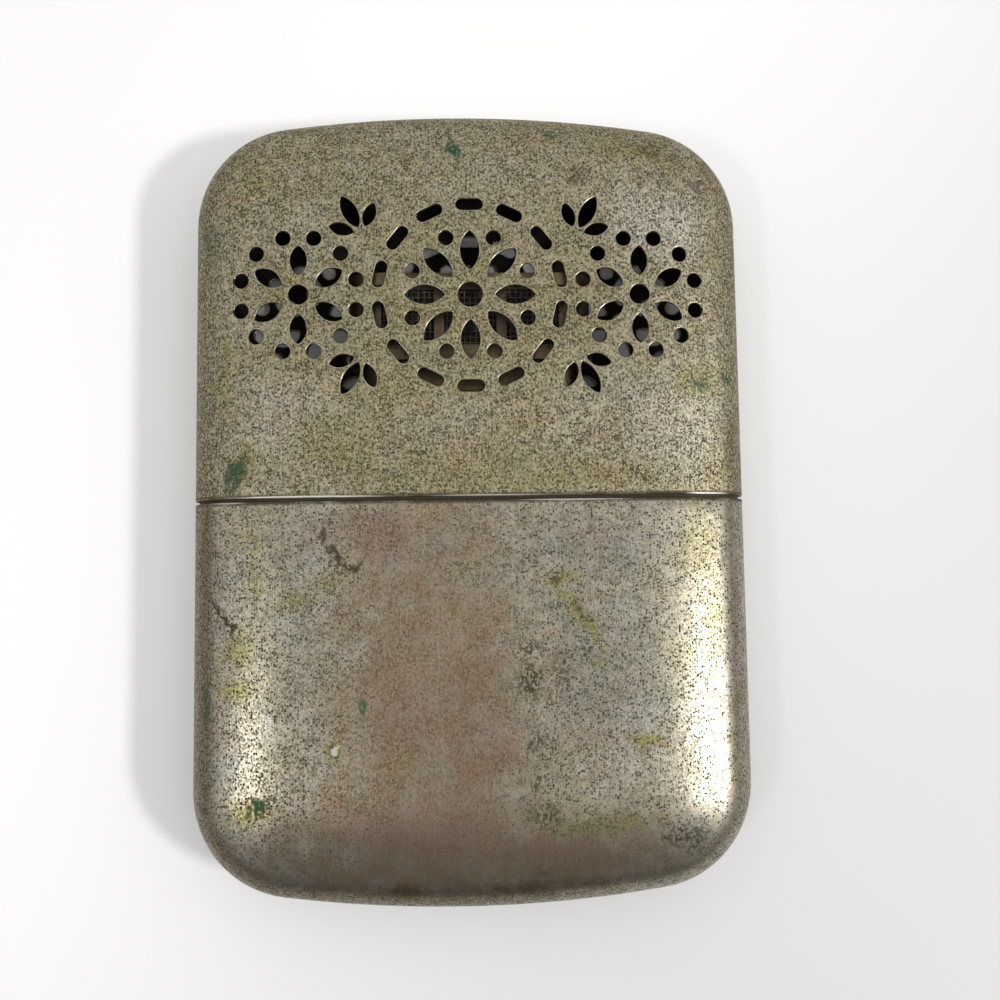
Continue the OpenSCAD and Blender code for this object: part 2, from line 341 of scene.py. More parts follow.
# Steps of each stretch of the border, the height of the band beside the seam, and the cut edges
CROWN_STEPS = 6
EDGE_STEPS = 20
SIDE_STEPS = 13
CORNER_STEPS = 16
ARCH_STEPS = 12
BAND_TOP = 2.0 * MM
LIP_STEPS = 3
LIP_ANGLE = math.radians(50)


def draw_half(name, case, outside, inside):
    """Outer skin of the cap half: a border swept round the case, and its flat front and back."""
    form = CaseShape(case)
    top = case.thickness
    mouth_y = case.seam / 2
    straight = form.corner_y - BAND_TOP
    corner = math.pi / 2 - form.arch_angle
    piece = begin(name, (form.flat_x, mouth_y, top))
    piece.data.materials.append(outside)
    piece.data.materials.append(inside)
    sweep(CROWN_STEPS, form.lean, (form.flat_x, mouth_y, top - form.crown), ALONG_Y)
    sweep(EDGE_STEPS, math.pi - 2 * form.lean, (form.edge_x, mouth_y, form.half_t), ALONG_Y)
    sweep(CROWN_STEPS, form.lean, (form.flat_x, mouth_y, form.crown), ALONG_Y)
    take_all()
    draw_out((0, BAND_TOP - mouth_y, 0))
    draw_out((0, straight, 0), SIDE_STEPS)
    sweep(CORNER_STEPS, corner, (form.flat_x, form.corner_y, form.half_t), UP)
    sweep(ARCH_STEPS, 2 * form.arch_angle, (0, form.arch_y, form.half_t), UP)
    sweep(CORNER_STEPS, corner, (-form.flat_x, form.corner_y, form.half_t), UP)
    draw_out((0, -straight, 0), SIDE_STEPS)
    draw_out((0, mouth_y - BAND_TOP, 0))
    merge_points()
    for z in (top, 0):
        fill_flat(form, z)
    take_all()
    bpy.ops.mesh.fill_holes(sides=3)
    finish_edit()
    return piece


def fill_flat(form, z):
    """Closes the flat face at height z with a grid of quads, so that no face is large."""

    def level(co):
        return abs(co.z - z) < CLOSE

    take(lambda co: level(co) and abs(abs(co.x) - form.flat_x) < CLOSE)
    bpy.ops.mesh.bridge_edge_loops(number_cuts=ARCH_STEPS - 1, interpolation="LINEAR")
    inner = form.flat_x * (1 - 0.5 / ARCH_STEPS)
    take(lambda co: level(co) and co.y > form.corner_y - CLOSE and abs(co.x) < inner)
    bpy.ops.mesh.bridge_edge_loops(interpolation="LINEAR")


def give_wall(piece, case):
    """Turns the skin into sheet metal, with its inner side in the second material."""
    modify(
        piece, "SOLIDIFY", thickness=case.sheet, offset=-1, use_even_offset=True, use_rim=True,
        material_offset=1,
    )


def round_lips(piece, case, material=-1):
    """Rounds the sheet's cut edges, to catch the light; material -1 keeps the one beside them."""
    modify(
        piece, "BEVEL", width=case.lip, segments=LIP_STEPS, limit_method="ANGLE", angle_limit=LIP_ANGLE,
        use_clamp_overlap=False, loop_slide=False, material=material,
    )


# ---- Vents ----


# Steps of a petal's side or a slot's end, and of a petal's rounded tip
BOW_STEPS = 8
TIP_STEPS = 3
# Eyes: radius and number of sides
MAIN_EYE = (1.5 * MM, 28)
SIDE_EYE = (1.2 * MM, 24)
# Petals and leaves: distance from the motif's middle, length and width
MAIN_PETAL = (3 * MM, 4.9 * MM, 2.3 * MM)
SIDE_PETAL = (2.3 * MM, 3.7 * MM, 2 * MM)
LEAF = (0.9 * MM, 4.4 * MM, 1.8 * MM)
SMALL_LEAF = (1.0 * MM, 3.1 * MM, 1.5 * MM)
LEAF_SPREAD = math.radians(48)
# Dots and slots: distance from the motif's middle, and a slot's length
MAIN_DOTS = 7.5 * MM
SIDE_DOTS = 7.1 * MM
SLOT_RING = 11.1 * MM
SLOT_LENGTH = 3.3 * MM
# Sprigs: how far they stand from the middle rosette's middle, and their lean
SPRIG_X = 12.9 * MM
SPRIG_Y = 7.4 * MM
SPRIG_LEAN = math.radians(28)


def put_away():
    """Hides what has been drawn, so that the next motif is selected alone."""
    take_all()
    bpy.ops.mesh.hide(unselected=False)


def close_outline():
    """Makes one face of the outline just drawn."""
    merge_points()
    take_all()
    bpy.ops.mesh.edge_face_add()
    take_all()


def petal(x, y, foot, span, wide, tip):
    """Pointed petal that stands foot above (x, y), with its two points rounded."""
    arc = (span**2 + wide**2) / (4 * wide)
    bow = 2 * math.asin(span / 2 / arc)
    middle = y + foot + span / 2
    new_point((x, y + foot, 0))
    sweep(BOW_STEPS, bow, (x + wide / 2 - arc, middle, 0), UP)
    sweep(BOW_STEPS, bow, (x + arc - wide / 2, middle, 0), UP)
    close_outline()

    def at_tip(co):
        return abs(co.x - x) < CLOSE and abs(abs(co.y - middle) - span / 2) < CLOSE

    points = bmesh.from_edit_mesh(bpy.context.object.data).verts
    tips = [point.co.copy() for point in points if not point.hide and at_tip(point.co)]
    take(lambda co: any((co - end).length < CLOSE for end in tips))
    bpy.ops.mesh.bevel(affect="VERTICES", offset=tip, segments=TIP_STEPS)
    take_all()


def dot(x, y, radius, sides=20):
    """Round hole."""
    bpy.ops.mesh.primitive_circle_add(vertices=sides, radius=radius, fill_type="NGON", location=(x, y, 0))
    take_all()


def cross_slot(x, y, span, wide):
    """Slot that lies along X, with round ends."""
    reach = (span - wide) / 2
    new_point((x - reach, y - wide / 2, 0))
    draw_out((2 * reach, 0, 0))
    sweep(BOW_STEPS, math.pi, (x + reach, y, 0), UP)
    draw_out((-2 * reach, 0, 0))
    sweep(BOW_STEPS, math.pi, (x - reach, y, 0), UP)
    close_outline()


def ring(count, x, y, start=0.0):
    """Repeats the motif round (x, y), first turned by start."""
    if start:
        turn(start, (x, y, 0))
    whole_turn = 2 * math.pi * (count - 1) / count
    bpy.ops.mesh.spin(steps=count - 1, angle=-whole_turn, center=(x, y, 0), axis=UP, dupli=True)
    put_away()


def main_rosette(vents):
    """Eye, petals, dots and slots of the middle rosette."""
    y = vents.middle_y
    dot(0, y, *MAIN_EYE)
    put_away()
    petal(0, y, *MAIN_PETAL, vents.tip)
    ring(vents.main_petals, 0, y)
    dot(0, y + MAIN_DOTS, vents.dot_radius)
    ring(vents.main_petals, 0, y, math.pi / vents.main_petals)
    cross_slot(0, y + SLOT_RING, SLOT_LENGTH, vents.slot_width)
    ring(vents.slots, 0, y)


def side_rosette(vents, x):
    """Eye, petals and dots of a side rosette."""
    y = vents.middle_y
    dot(x, y, *SIDE_EYE)
    put_away()
    petal(x, y, *SIDE_PETAL, vents.tip)
    ring(vents.side_petals, x, y)
    dot(x, y + SIDE_DOTS, vents.dot_radius)
    ring(2 * vents.side_petals, x, y, math.pi / 2 / vents.side_petals)


def sprig(vents, x, y, lean):
    """Three leaves that spread from (x, y), turned by lean."""
    for size, angle in ((LEAF, 0), (SMALL_LEAF, LEAF_SPREAD), (SMALL_LEAF, -LEAF_SPREAD)):
        petal(x, y, *size, vents.tip)
        turn(angle + lean, (x, y, 0))
        put_away()


def punch_tool(vents, depth, materials):
    """Solid of all the vents, which reaches through both faces."""
    tool = begin_empty("vent_punch")
    for material in materials:
        tool.data.materials.append(material)
    main_rosette(vents)
    for side in (-1, 1):
        side_rosette(vents, side * vents.spread)
        sprig(vents, side * SPRIG_X, vents.middle_y + SPRIG_Y, -side * SPRIG_LEAN)
        sprig(vents, side * SPRIG_X, vents.middle_y - SPRIG_Y, -side * (math.pi - SPRIG_LEAN))
    bpy.ops.mesh.reveal(select=True)
    take_all()
    over = depth / 10
    bpy.ops.transform.translate(value=(0, 0, -over))
    draw_out((0, 0, depth + 2 * over))
    finish_edit()
    return tool


# ---- Materials ----


# A Mix node's sockets by their place, because its numbers and its colours share their names
NUMBER_SOCKETS, NUMBER_RESULT = (2, 3), 0
COLOUR_SOCKETS, COLOUR_RESULT = (6, 7), 2


def rgba(tone):
    """A colour with full alpha."""
    return (*tone[:3], 1.0)


def shaded(tone, *factors):
    """A colour times one factor, or times one for each of its parts."""
    if len(factors) == 1:
        factors *= 3
    return tuple(min(1.0, part * factor) for part, factor in zip(tone, factors))


class Nodes:
    """Adds nodes to a tree, each with its values and links."""

    def __init__(self, tree, coordinates):
        self.tree = tree
        self.place = self.add("ShaderNodeTexCoord").outputs[coordinates]

    def add(self, kind, **settings):
        """Adds a node and sets its own settings."""
        node = self.tree.nodes.new(kind)
        for key, value in settings.items():
            setattr(node, key, value)
        return node

    def feed(self, socket, value):
        """Joins a socket to another, or sets its value."""
        if isinstance(value, bpy.types.NodeSocket):
            self.tree.links.new(value, socket)
        else:
            socket.default_value = value

    def math(self, operation, first, second=0.0, clamp=False):
        """One Math node."""
        node = self.add("ShaderNodeMath", operation=operation, use_clamp=clamp)
        self.feed(node.inputs[0], first)
        self.feed(node.inputs[1], second)
        return node.outputs[0]

    def times(self, first, second, clamp=False):
        """The product of two numbers."""
        return self.math("MULTIPLY", first, second, clamp)

    def plus(self, first, second, clamp=False):
        """The sum of two numbers."""
        return self.math("ADD", first, second, clamp)

    def minus(self, first, second):
        """The first number less the second."""
        return self.math("SUBTRACT", first, second)

    def larger(self, first, second):
        """The larger of two numbers."""
        return self.math("MAXIMUM", first, second)

    def vary(self, value, low, high, to_low=0.0, to_high=1.0, soft=True):
        """Maps a value from low..high to to_low..to_high."""
        node = self.add("ShaderNodeMapRange", interpolation_type="SMOOTHSTEP" if soft else "LINEAR")
        ends = {"From Min": low, "From Max": high, "To Min": to_low, "To Max": to_high}
        for key, given in {"Value": value, **ends}.items():
            self.feed(node.inputs[key], given)
        return node.outputs["Result"]

    def split(self):
        """X, Y and Z of the place."""
        node = self.add("ShaderNodeSeparateXYZ")
        self.feed(node.inputs[0], self.place)
        return node.outputs

    def blend(self, factor, first, second):
        """Mixes two numbers."""
        node = self.add("ShaderNodeMix", data_type="FLOAT")
        self.feed(node.inputs["Factor"], factor)
        for socket, value in zip(NUMBER_SOCKETS, (first, second)):
            self.feed(node.inputs[socket], value)
        return node.outputs[NUMBER_RESULT]


# Height of the front face and how deep a spot on it reaches, in mm
FRONT = 14.0
SPOT_DEPTH = 4.0


class Finish(Nodes):
    """One material's nodes, added in the order in which a finish builds up."""

    def __init__(self, name):
        self.material = bpy.data.materials.new(name)
        self.material.use_nodes = True
        super().__init__(self.material.node_tree, "Object")
        self.shader = self.tree.nodes["Principled BSDF"]

    def set(self, **values):
        """Sets sockets of the shader, named with _ for spaces."""
        for name, value in values.items():
            self.feed(self.shader.inputs[name.replace("_", " ")], value)

    def stretched(self, reach, angle=0.0):
        """Object coordinates counted in steps of reach along axes turned about Z by angle."""
        node = self.add("ShaderNodeMapping", vector_type="TEXTURE")
        node.inputs["Rotation"].default_value = (0, 0, angle)
        node.inputs["Scale"].default_value = reach
        self.feed(node.inputs["Vector"], self.place)
        return node.outputs["Vector"]

    def noise(self, size, detail=3.0, rough=0.55, vector=None, twist=0.0, colour=False):
        """Noise whose lumps are about size across."""
        node = self.add("ShaderNodeTexNoise")
        self.feed(node.inputs["Vector"], vector or self.place)
        self.feed(node.inputs["Scale"], 1 / size)
        self.feed(node.inputs["Detail"], detail)
        self.feed(node.inputs["Roughness"], rough)
        self.feed(node.inputs["Distortion"], twist)
        return node.outputs["Color" if colour else "Fac"]

    def cells(self, size):
        """Voronoi cells about size across: the distance to a cell's point and its random value."""
        node = self.add("ShaderNodeTexVoronoi")
        self.feed(node.inputs["Vector"], self.place)
        self.feed(node.inputs["Scale"], 1 / size)
        split = self.add("ShaderNodeSeparateColor")
        self.feed(split.inputs[0], node.outputs["Color"])
        return node.outputs["Distance"], split.outputs[0]

    def mix(self, factor, first, second, blend="MIX"):
        """Mixes two colours, of which each may be a socket."""
        node = self.add("ShaderNodeMix", data_type="RGBA", blend_type=blend)
        self.feed(node.inputs["Factor"], factor)
        for socket, tone in zip(COLOUR_SOCKETS, (first, second)):
            self.feed(node.inputs[socket], tone if isinstance(tone, bpy.types.NodeSocket) else rgba(tone))
        return node.outputs[COLOUR_RESULT]

    def warped(self, reach, size):
        """Object coordinates pushed about by noise, which makes the borders of stains uneven."""
        cloud = self.noise(size, rough=0.65, colour=True)
        centred = self.add("ShaderNodeVectorMath", operation="SUBTRACT")
        self.feed(centred.inputs[0], cloud)
        centred.inputs[1].default_value = (0.5, 0.5, 0.5)
        scaled = self.add("ShaderNodeVectorMath", operation="SCALE")
        self.feed(scaled.inputs[0], centred.outputs[0])
        scaled.inputs["Scale"].default_value = reach
        total = self.add("ShaderNodeVectorMath", operation="ADD")
        self.feed(total.inputs[0], self.place)
        self.feed(total.inputs[1], scaled.outputs[0])
        return total.outputs[0]

    def patch(self, vector, x, y, wide, tall, angle):
        """Soft spot at (x, y) mm on the front face: 1 in its middle, 0 at wide and tall."""
        node = self.add("ShaderNodeMapping", vector_type="TEXTURE")
        node.inputs["Location"].default_value = mm(x, y, FRONT)
        node.inputs["Rotation"].default_value = (0, 0, math.radians(angle))
        node.inputs["Scale"].default_value = mm(wide, tall, SPOT_DEPTH)
        self.feed(node.inputs["Vector"], vector)
        fall = self.add("ShaderNodeTexGradient", gradient_type="SPHERICAL")
        self.feed(fall.inputs["Vector"], node.outputs["Vector"])
        return self.vary(fall.outputs["Fac"], 0.0, 0.65)

    def patches(self, vector, spots):
        """The strongest of several spots, each (strength, x, y, wide, tall, angle)."""
        return self.strongest(self.times(self.patch(vector, *spot), strength) for strength, *spot in spots)

    def strongest(self, parts):
        """The largest of several numbers."""
        return reduce(self.larger, parts)

    def bump(self, height, reach, under=None):
        """Relief of the given height in metres."""
        node = self.add("ShaderNodeBump")
        self.feed(node.inputs["Height"], height)
        node.inputs["Distance"].default_value = reach
        node.inputs["Strength"].default_value = 1.0
        if under is not None:
            self.feed(node.inputs["Normal"], under)
        return node.outputs["Normal"]


# Grain of the mottling, and what its dark and light specks do to the colour under them
GRAIN = 0.24 * MM
DARK_SPECK = (0.42, 0.385, 0.29)
LIGHT_SPECK = (1.62, 1.66, 1.86)
# Size of the clots in a stain, and of the pits in the plate
CLOT = 0.38 * MM
PIT = 0.30 * MM
# Distances from the case's middle plane: less than the first is none, the second is full
BORDER_OFF = (1.1 * MM, 2.7 * MM)
RIM_OFF = (3.0 * MM, 1.6 * MM)
# How far from the middle the border's dirt goes on thinning out, towards the cleaner side
THINNING = 24 * MM
# Distance from the seam's middle where its grime ends, and where it is full
GRIME_OFF = (0.80 * MM, 0.38 * MM)
# Brush lines: width, length and depth of one; hairlines: angle, width and length in mm
BRUSH = (0.13 * MM, 9 * MM, 1 * MM)
HAIRLINES = ((84, 0.09, 16), (97, 0.08, 22), (52, 0.09, 10))


def pitted(finish, size, widest, spread):
    """Round corrosion pits about size apart; spread is the share of the cells that hold one."""
    distance, chance = finish.cells(size)
    reach = finish.vary(chance, finish.minus(1.0, spread), 1.0, 0.0, widest, soft=False)
    return finish.vary(finish.minus(reach, distance), -0.05, 0.08)


def border_of(finish, case):
    """How deep a point lies on the case's curved border, and how near it is to the outermost rim."""
    half = case.thickness / 2
    off = finish.math("ABSOLUTE", finish.minus(finish.split()[2], half))
    border = finish.vary(off, half - BORDER_OFF[0], half - BORDER_OFF[1])
    return border, finish.vary(off, *RIM_OFF)


def seam_grime(finish):
    """Dirt along the two lips of the seam, rubbed off in places."""
    near = finish.vary(finish.math("ABSOLUTE", finish.split()[1]), *GRIME_OFF)
    kept = finish.vary(finish.noise(7 * MM, detail=2.0), 0.40, 0.52, 0.50, 0.95)
    return finish.times(near, kept)


def brush_lines(finish, depth):
    """Brightness of the fine brush lines that run along the case, round 1."""
    lines = finish.noise(1.0, detail=1.0, vector=finish.stretched(BRUSH))
    return finish.vary(lines, 0.3, 0.7, 1 - depth, 1 + depth, soft=False)


def hairlines(finish):
    """Short, faint hairline scratches, most of them along the case."""

    def scratches(angle, wide, long):
        vector = finish.stretched((long * MM, wide * MM, 1 * MM), math.radians(angle))
        return finish.vary(finish.noise(1.0, detail=0.0, vector=vector), 0.72, 0.82, 0.0, 0.18)

    return finish.strongest(scratches(*line) for line in HAIRLINES)


def worn_nickel(name, case, looks, plate):
    """Worn nickel plate: clouds of tarnish, dirty edges, fine mottling, pits, stains and brush lines.

    The plate says what sets one half apart: its colour and roughness; how strong its mottle, brush
    lines and dirt are; clean_side, the share of the border's dirt on the right; and where its calm
    and crowded places, tints, olive stains, marks and bright lips lie. On the cap the bright lips
    are painted highlights; on the tank one calm spot is a painted highlight and the foot tint is
    partly a painted reflection.
    """
    finish = Finish(name)
    base = plate.colour

    # Clouds of several sizes, and the places where the plate has worn
    loose = finish.warped(10 * MM, 7 * MM)
    ragged = finish.warped(3.2 * MM, 1.3 * MM)
    broad = finish.noise(15 * MM)
    middling = finish.noise(3.2 * MM, rough=0.6)
    clumps = finish.noise(1.2 * MM, rough=0.6)
    grain = finish.noise(1.0, detail=2.0, rough=0.62, vector=finish.stretched((GRAIN, 1.35 * GRAIN, GRAIN)))
    border, rim = border_of(finish, case)
    across = finish.split()[0]
    border = finish.times(border, finish.vary(across, -THINNING, THINNING, 1.0, plate.clean_side))
    # The calm spots include, on the tank, a painted highlight that clears the pits where the main lamp's
    # highlight falls
    calm = finish.patches(loose, plate.calm)
    olive = finish.patches(ragged, plate.olive)
    crowd = finish.larger(finish.patches(ragged, plate.crowds), finish.times(olive, 0.9))
    wear = finish.vary(middling, 0.3, 0.7, 0.72, 1.15, soft=False)
    wear = finish.plus(wear, finish.times(border, 0.35))
    wear = finish.times(wear, finish.vary(clumps, 0.32, 0.68, 0.70, 1.30))
    calmed = finish.times(wear, finish.minus(1.0, calm))

    # Tarnish, films and dirt, and on the tank a darker foot that is partly a painted reflection
    tone = finish.mix(finish.vary(broad, 0.36, 0.66), base, shaded(base, 0.93, 0.90, 0.80))
    tone = finish.mix(finish.vary(middling, 0.46, 0.68, 0.0, 0.6), tone, shaded(base, 0.80, 0.79, 0.62))
    tone = finish.mix(finish.vary(middling, 0.46, 0.28, 0.0, 0.6), tone, shaded(base, 1.14, 1.14, 1.16))
    patchy = finish.vary(clumps, 0.34, 0.66, 1.14, 0.82)
    tone = finish.mix(1.0, tone, patchy, blend="MULTIPLY")
    broken = finish.vary(middling, 0.32, 0.62, 0.72, 1.0)
    for tint, spots in plate.tints:
        tone = finish.mix(finish.times(finish.patches(loose, spots), broken), tone, tint)
    flecked = finish.times(broken, finish.vary(clumps, 0.36, 0.60, 1.0, 0.8))
    tone = finish.mix(finish.times(olive, flecked), tone, looks.olive)
    hue = finish.noise(4.2 * MM, detail=2.0, vector=loose)
    tone = finish.mix(finish.vary(hue, 0.52, 0.70), tone, (1.03, 0.96, 0.945), blend="MULTIPLY")
    tone = finish.mix(finish.vary(hue, 0.48, 0.30), tone, (0.95, 1.0, 1.02), blend="MULTIPLY")
    dirt = finish.times(border, finish.vary(rim, 0.0, 1.0, plate.dirt, 0.3 * plate.dirt, soft=False))
    tone = finish.mix(dirt, tone, shaded(base, 0.40, 0.335, 0.24))

    # Mottling and fine lines
    speck = finish.minus(finish.vary(grain, 0.34, 0.66), 0.5)
    depth = finish.times(speck, plate.mottle)
    depth = finish.times(depth, finish.plus(wear, finish.times(border, 0.3)))
    mottle = finish.mix(finish.plus(depth, 0.5, clamp=True), DARK_SPECK, LIGHT_SPECK)
    tone = finish.mix(1.0, tone, mottle, blend="MULTIPLY")
    lines = finish.times(brush_lines(finish, plate.brush), finish.plus(hairlines(finish), 1.0))
    tone = finish.mix(1.0, tone, lines, blend="MULTIPLY")

    # Pits
    pit_share = finish.plus(calmed, finish.times(crowd, 0.55), clamp=True)
    large_pits = pitted(finish, PIT, 0.54, pit_share)
    small_pits = finish.times(pitted(finish, 0.6 * PIT, 0.48, pit_share), 0.6)
    pits = finish.larger(large_pits, small_pits)
    pits = finish.times(pits, finish.minus(0.92, finish.times(calm, 0.7)))
    tone = finish.mix(pits, tone, looks.pit)

    # Stains with holes in them, each (how solid, colour, spots), then grime and bright lips, which on the cap
    # are painted highlights
    stained = None
    clots = finish.noise(1.0, detail=2.0, rough=0.6, vector=finish.stretched((CLOT, 1.4 * CLOT, CLOT)))
    for solid, stain, spots in plate.marks:
        holes = finish.vary(clots, 0.62 - solid, 0.46 - solid)
        spread = finish.times(finish.patches(ragged, spots), finish.minus(1.0, holes))
        tone = finish.mix(spread, tone, stain)
        stained = spread if stained is None else finish.larger(stained, spread)
    grimy = seam_grime(finish)
    tone = finish.mix(grimy, tone, looks.grime)
    tone = finish.mix(finish.patches(finish.place, plate.lips), tone, looks.bare_metal_and_lip_highlight)

    # Dull where pitted, stained, grimy or darkly specked
    dull = finish.larger(pits, finish.times(stained, 0.8))
    dull = finish.larger(dull, grimy)
    dull = finish.larger(dull, finish.times(depth, -1.3, clamp=True))
    dents = pitted(finish, PIT, 0.50, 0.55)
    relief = finish.minus(finish.times(grain, 0.35), finish.times(dents, 0.3))
    finish.set(
        Base_Color=tone,
        Metallic=finish.vary(dull, 0.0, 1.0, 1.0, 0.35),
        Roughness=finish.vary(dull, 0.0, 1.0, plate.roughness, 0.8, soft=False),
        Normal=finish.bump(relief, 0.012 * MM, under=finish.bump(broad, 0.12 * MM)),
    )
    return finish.material


# Marks on the cap, as (strength, x, y, half width, half height, angle), in mm and degrees
CAP_GREEN = (
    (1.0, -1.9, 42.7, 1.3, 1.9, 25), (0.75, 10.2, 44.9, 1.3, 0.8, 0), (0.60, -31.6, 31.0, 1.8, 4.2, 0),
    (0.95, 31.6, 14.5, 0.9, 2.2, -8), (0.60, 27.6, 13.2, 1.7, 1.2, 0), (0.75, -27.9, 3.0, 1.5, 3.6, -24),
)
CAP_OLIVE = (
    (0.55, 27.6, 14.0, 5.0, 3.2, 0), (0.45, -16.2, 7.0, 8.0, 4.6, 0), (0.50, -22.6, 25.0, 4.2, 2.4, 20),
    (0.45, 21.0, 42.7, 8.0, 1.8, -12), (0.40, -25.0, 38.5, 4.0, 2.4, 30), (0.35, -11.0, 13.5, 9.0, 6.0, 0),
    (0.40, 12.0, 2.0, 14.0, 1.6, 0), (0.50, -29.5, 15.0, 1.8, 10.0, 0),
    (0.75, -27.2, 4.0, 2.4, 4.4, -24),
)
CAP_BROWN = (
    (0.55, 12.9, 39.2, 0.9, 1.8, -10), (0.50, 28.3, 38.2, 2.0, 1.4, -35), (0.60, -2.9, 8.3, 0.6, 0.6, 0),
    (0.45, 31.5, 5.0, 1.5, 4.5, 0), (0.35, 23.0, 42.4, 5.5, 1.4, -20), (0.55, -28.0, 2.6, 1.6, 3.4, -24),
)
CAP_CROWDS = (
    (0.8, 0.0, 44.5, 32.0, 5.5, 0), (0.7, 31.0, 25.0, 3.0, 22.0, 0), (0.7, -31.5, 20.0, 2.6, 24.0, 0),
    (0.5, -22.0, 36.0, 9.0, 5.0, 30), (0.4, 24.0, 7.0, 9.0, 5.0, 0), (0.6, 24.5, 41.0, 8.0, 3.0, -25),
)
# Painted highlights: bare-metal colour on the cap's seam lip where its rounded edge catches the light
CAP_LIP_HIGHLIGHTS = (
    (0.95, -19.3, 0.30, 11.5, 0.20, 0), (0.95, 28.6, 0.30, 3.6, 0.20, 0), (0.5, 2.0, 0.30, 9.0, 0.16, 0),
)
CAP_CALM = ((0.15, 4.0, 4.0, 12.0, 5.0, 0),)
CAP_KHAKI = (
    (0.55, 0.0, 24.0, 34.0, 16.0, 0), (0.45, -14.0, 6.0, 16.0, 8.0, 0), (0.3, 6.0, 45.0, 30.0, 5.0, 0),
    (0.80, 1.0, 2.6, 30.0, 5.4, 0),
)
CAP_LIGHT = (
    (0.55, 22.0, 33.0, 9.0, 6.0, -15), (0.45, 25.0, 9.0, 9.0, 8.0, 0), (0.35, -24.0, 10.0, 8.0, 7.0, 0),
)

# Marks on the tank
TANK_GREEN = (
    (0.9, -13.1, -24.0, 1.1, 1.2, 0), (0.85, -25.0, -35.1, 1.8, 1.2, 15), (0.90, -31.6, -24.0, 1.3, 5.0, 0),
    (0.45, -16.2, -29.4, 0.9, 1.2, 0),
)
TANK_OLIVE = (
    (0.50, -18.5, -10.8, 7.5, 2.2, 24), (0.40, -1.6, -8.5, 2.6, 1.2, 25), (0.38, -2.6, -13.4, 3.0, 1.4, 0),
    (1.0, 20.4, -28.8, 4.2, 1.0, -8), (0.80, -27.2, -17.5, 2.6, 3.6, 0), (0.85, -28.2, -22.2, 4.0, 1.8, 0),
    (0.70, 15.4, -38.2, 8.5, 1.6, 4), (1.0, -16.2, -29.2, 1.8, 2.0, 0), (0.75, -26.5, -36.0, 4.2, 2.6, 10),
    (0.85, 12.4, -14.0, 1.2, 7.0, 36), (0.80, 10.8, -9.6, 3.4, 1.1, 5), (0.75, 28.5, -17.0, 1.6, 12.0, 0),
    (0.45, 27.2, -5.8, 5.2, 4.4, 0), (0.55, -25.6, -8.0, 0.7, 9.0, 0), (0.35, 14.5, -19.5, 2.0, 1.4, -50),
    (0.30, -9.0, -31.0, 5.0, 2.0, 0), (0.30, 30.5, -33.0, 1.2, 9.0, 0),
)
TANK_BROWN = (
    (0.80, -17.5, -4.3, 0.45, 2.4, 12), (0.95, -16.0, -7.0, 0.5, 2.6, 40), (0.95, -14.2, -8.2, 1.9, 0.6, 12),
    (1.0, -29.5, -13.4, 0.55, 5.2, 35), (1.0, -28.4, -14.6, 0.9, 0.6, -30), (0.8, 9.6, -9.6, 1.2, 0.6, 0),
    (0.7, 12.9, -14.0, 0.45, 2.4, 32), (0.40, -2.4, -3.55, 6.4, 0.12, 0), (0.45, 14.0, -3.8, 0.4, 1.4, 20),
)
TANK_BARE = ((0.6, -16.2, -29.4, 0.45, 0.55, 0), (0.6, -16.0, -29.0, 0.9, 0.3, 35))
TANK_LIPS = ((0.5, 12.0, -0.30, 8.0, 0.16, 0), (0.5, -29.0, -0.30, 3.0, 0.16, 0))
TANK_BLOTS = (
    (0.95, 6.6, -17.6, 2.2, 1.2, 0), (0.95, 6.6, -21.8, 2.2, 3.2, 0), (0.65, 10.2, -20.5, 1.6, 3.4, 0),
    (0.85, 7.0, -28.6, 2.0, 2.2, 0), (0.80, 7.4, -33.0, 1.5, 2.0, 0), (0.80, 8.2, -37.0, 3.2, 2.6, 0),
    (0.60, 13.5, -38.5, 5.0, 1.0, 5), (0.70, 12.6, -17.8, 1.8, 1.2, -30), (0.95, 24.5, -40.0, 4.8, 2.6, -20),
    (0.70, -25.0, -35.3, 3.0, 1.8, 10), (0.45, 9.0, -12.5, 1.4, 0.8, -40),
)
# Calm places with fewer pits; the last spot, on the right flank, is a painted highlight that clears the pits
# where the main lamp's highlight falls
TANK_CALM_AND_HIGHLIGHT = (
    (0.50, -5.5, -24.0, 15.5, 38.0, 0), (0.25, 8.0, -43.0, 20.0, 6.0, 0), (0.75, 28.4, -29.0, 2.2, 14.0, 0),
)
TANK_TARNISH = (
    (0.92, -5.5, -24.0, 16.5, 44.0, 0), (0.80, -8.0, -40.0, 26.0, 12.0, 0), (0.70, 12.0, -43.5, 22.0, 7.0, 0),
)
